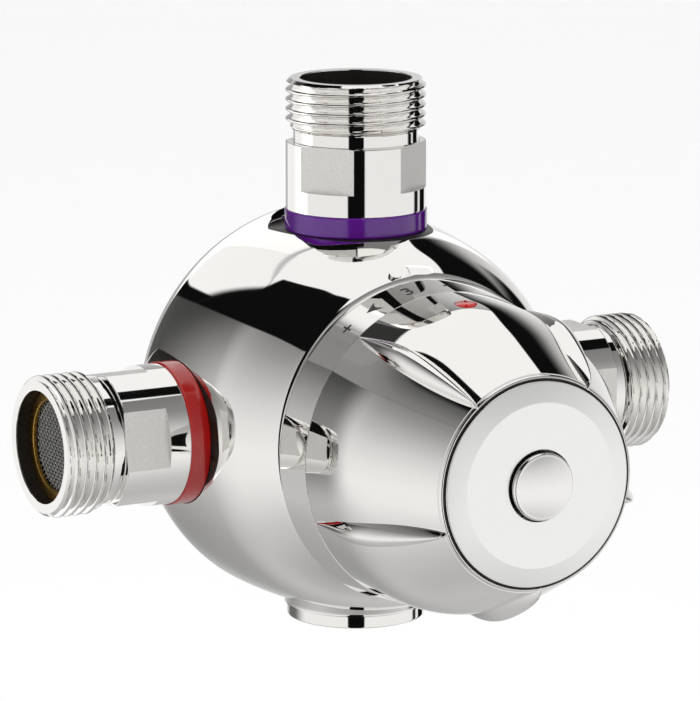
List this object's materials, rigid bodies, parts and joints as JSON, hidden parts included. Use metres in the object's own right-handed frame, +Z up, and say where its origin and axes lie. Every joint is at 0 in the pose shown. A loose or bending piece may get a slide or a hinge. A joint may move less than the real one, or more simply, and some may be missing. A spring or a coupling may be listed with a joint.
{
  "type": "mixing valve",
  "caption": "Chrome three-port water mixing valve with a round body, ringed screwed unions, a ribbed knob with a satin cap and push button, strainers, check valves and a cartridge.",
  "frame": {"origin": "middle of the rim of the mixed outlet, the screwed union that stands on top", "axes": "+Z up along the outlet, +X from the hot inlet to the cold inlet, the knob towards -Y; metres"},
  "size_m": [0.1294, 0.106, 0.1033],
  "materials": {
    "chrome": "polished chromium plate on brass",
    "satin": "satin chromium plate",
    "polished_button": "polished chromium plate",
    "purple_plastic": "dyed through, gloss",
    "red_plastic": "dyed through, gloss",
    "blue_plastic": "dyed through, gloss",
    "red_enamel": "fired enamel",
    "seal_rubber": "moulded",
    "brass": "turned",
    "mesh_steel": "woven wire",
    "spring_steel": "drawn wire",
    "white_plastic": "moulded",
    "black_plastic": "moulded",
    "copper": "drawn copper alloy"
  },
  "bodies": {
    "valve": {"valve_body": "chrome", "index_stud": "chrome", "hot_union": "chrome", "cold_union": "chrome", "outlet_union": "chrome", "hot_ring": "red_plastic", "cold_ring": "blue_plastic", "outlet_ring": "purple_plastic", "hot_seal": "seal_rubber", "cold_seal": "seal_rubber", "outlet_seal": "seal_rubber", "hot_strainer_ring": "brass", "cold_strainer_ring": "brass", "hot_strainer_mesh": "mesh_steel", "cold_strainer_mesh": "mesh_steel", "hot_check_cage": "white_plastic", "cold_check_cage": "white_plastic", "hot_check_spring": "spring_steel", "cold_check_spring": "spring_steel", "blanking_plug": "chrome", "plug_seal": "seal_rubber", "cartridge_sleeve": "brass", "sleeve_seals": "seal_rubber", "hot_seat": "brass", "return_spring": "spring_steel", "bonnet_nut": "brass", "stop_ring": "white_plastic"},
    "turning_knob": {"knob": "chrome", "index_dot": "red_enamel", "knob_hub": "black_plastic", "hub_screw": "spring_steel", "front_cap": "satin", "spindle": "brass", "spindle_seal": "seal_rubber", "button_spring": "spring_steel"},
    "button": {"push_button": "polished_button"},
    "mixing_shuttle": {"shuttle": "brass", "wax_element": "copper", "overload_cup": "brass", "overload_plunger": "brass", "overload_clip": "spring_steel", "overload_spring": "spring_steel"},
    "hot_poppet": {"hot_check_poppet": "black_plastic"},
    "cold_poppet": {"cold_check_poppet": "black_plastic"}
  },
  "joints": [
    {"name": "knob_turn", "type": "hinge", "parent": "valve", "child": "turning_knob", "pos_m": [0, 0.003, -0.0647], "axis": [0, 1, 0], "range_deg": [-150, 150]},
    {"name": "shuttle_slide", "type": "slide", "parent": "valve", "child": "mixing_shuttle", "axis": [0, 1, 0], "range_m": [-0.0009, 0.0009], "deforming": ["return_spring"]},
    {"name": "button_press", "type": "slide", "parent": "turning_knob", "child": "button", "axis": [0, 1, 0], "range_m": [0, 0.002], "stiffness_N_per_m": 1500, "springref_m": -0.002, "deforming": ["button_spring"]},
    {"name": "hot_check_slide", "type": "slide", "parent": "valve", "child": "hot_poppet", "axis": [1, 0, 0], "range_m": [0, 0.0025], "stiffness_N_per_m": 150, "springref_m": -0.003, "deforming": ["hot_check_spring"]},
    {"name": "cold_check_slide", "type": "slide", "parent": "valve", "child": "cold_poppet", "axis": [-1, 0, 0], "range_m": [0, 0.0025], "stiffness_N_per_m": 150, "springref_m": -0.003, "deforming": ["cold_check_spring"]}
  ],
  "couplings": [
    {"joint": "shuttle_slide", "follows": "knob_turn", "m_per_rad": 0.00031831}
  ]
}
